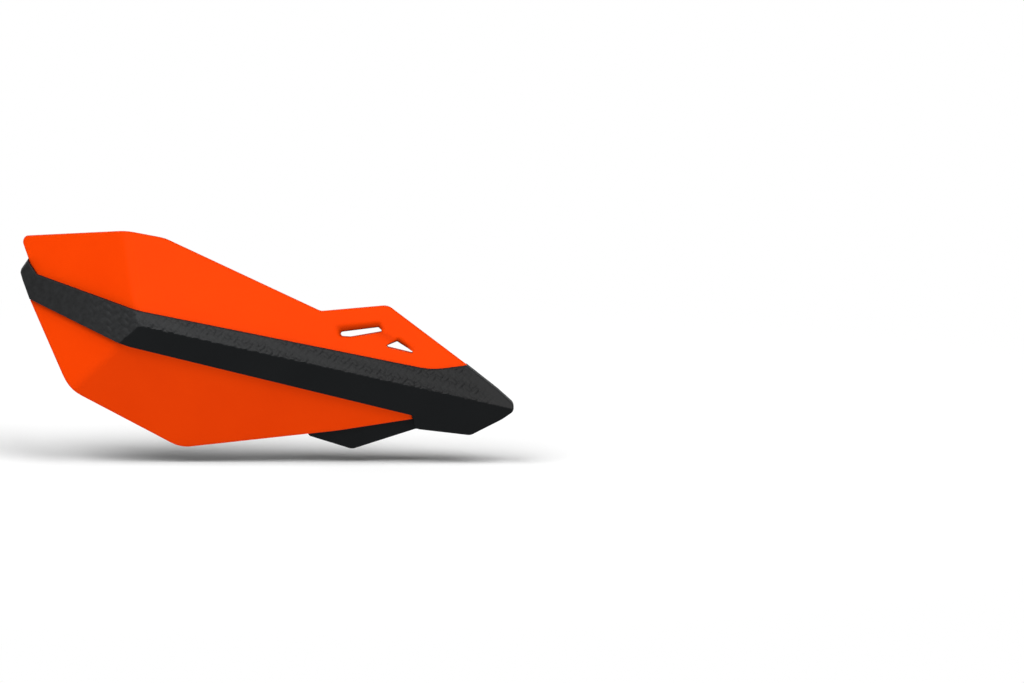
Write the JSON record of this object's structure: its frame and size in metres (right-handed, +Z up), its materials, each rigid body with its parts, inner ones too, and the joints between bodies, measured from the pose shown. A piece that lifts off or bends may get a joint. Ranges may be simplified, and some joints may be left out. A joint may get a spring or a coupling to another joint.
{
  "type": "motorcycle hand guard",
  "caption": "Folded hand guard shield with a raised black spine, hollow nose and threaded bosses at its back.",
  "frame": {"origin": "midway between the two bracket bolts, on the seat of their bosses", "axes": "+X along the handlebar from the wing to the nose, +Y towards the rider, out of the bolt holes, +Z up"},
  "size_m": [0.2472, 0.0632, 0.1107],
  "materials": {
    "shell": "satin injection moulding",
    "spine": "fine woven grain on the upper faces, satin below",
    "insert": "turned"
  },
  "bodies": {
    "root": {"shell": "shell", "spine": "spine", "insert_inner": "insert", "insert_outer": "insert"}
  },
  "joints": []
}
